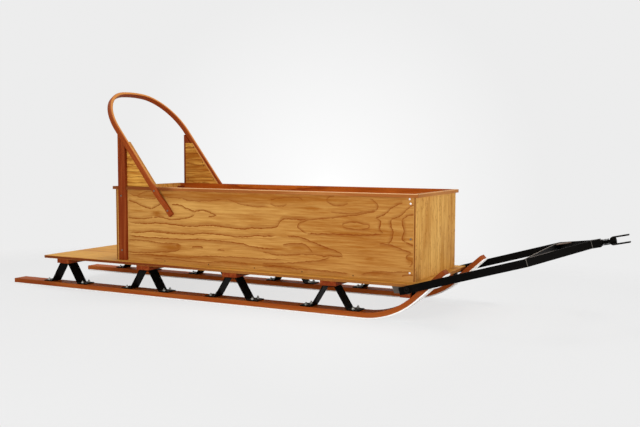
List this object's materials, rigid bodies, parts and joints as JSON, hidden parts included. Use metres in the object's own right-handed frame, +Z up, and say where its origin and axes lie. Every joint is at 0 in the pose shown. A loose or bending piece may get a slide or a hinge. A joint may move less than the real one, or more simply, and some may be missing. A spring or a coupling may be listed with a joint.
{
  "type": "dog sled with cargo box",
  "caption": "Freight dog sled: open plywood cargo box on a deck, bent steel struts, upturned wooden runners, bent wood handlebar and a hinged steel drawbar with a sprung fork hitch.",
  "frame": {"origin": "on the ground, midway between the runners and midway between the runners' tails and the fork tips", "axes": "+X forward along the sled, towards the drawbar; +Y to the sled's left; +Z up"},
  "size_m": [3.5174, 0.7886, 1.168],
  "materials": {
    "plywood": "varnished plywood with strong grain",
    "stained_wood": "varnished red-brown hardwood",
    "black_steel": "black paint",
    "white_plastic": "plain white low-friction plastic"
  },
  "bodies": {
    "sled": {"corner_cleat_front_left": "stained_wood", "corner_cleat_front_right": "stained_wood", "corner_cleat_rear_left": "stained_wood", "corner_cleat_rear_right": "stained_wood", "crosspiece_1": "stained_wood", "crosspiece_2": "stained_wood", "crosspiece_3": "stained_wood", "crosspiece_4": "stained_wood", "deck": "plywood", "drawbar_mount_left": "black_steel", "drawbar_mount_right": "black_steel", "floor_cleat_left": "stained_wood", "floor_cleat_right": "stained_wood", "front_bolster": "stained_wood", "front_panel": "plywood", "gusset_left": "plywood", "gusset_right": "plywood", "handlebar": "stained_wood", "packer_left": "stained_wood", "packer_right": "stained_wood", "post_left": "stained_wood", "post_right": "stained_wood", "rear_panel": "plywood", "rim_front": "stained_wood", "rim_left": "stained_wood", "rim_rear": "stained_wood", "rim_right": "stained_wood", "runner_left": "stained_wood", "runner_right": "stained_wood", "runner_shoe_left": "white_plastic", "runner_shoe_right": "white_plastic", "side_panel_left": "plywood", "side_panel_right": "plywood", "strut_1_left": "black_steel", "strut_1_right": "black_steel", "strut_2_left": "black_steel", "strut_2_right": "black_steel", "strut_3_left": "black_steel", "strut_3_right": "black_steel", "strut_4_left": "black_steel", "strut_4_right": "black_steel", "toe_bracket_left": "black_steel", "toe_bracket_right": "black_steel"},
    "drawbar": {"drawbar_arm_left": "black_steel", "drawbar_arm_right": "black_steel", "drawbar_crossbar": "black_steel", "hitch_tube": "black_steel"},
    "fork": {"hitch_fork": "black_steel", "hitch_nut": "black_steel", "hitch_spring": "black_steel"}
  },
  "joints": [
    {"name": "drawbar_lift", "type": "hinge", "parent": "sled", "child": "drawbar", "pos_m": [0.81925, 0, 0.1645], "axis": [0, -1, 0], "range_deg": [-23, 109]},
    {"name": "fork_swivel", "type": "hinge", "parent": "drawbar", "child": "fork", "pos_m": [1.62789, 0, 0.39173], "axis": [0.9763, 0, 0.2164], "continuous": true}
  ]
}
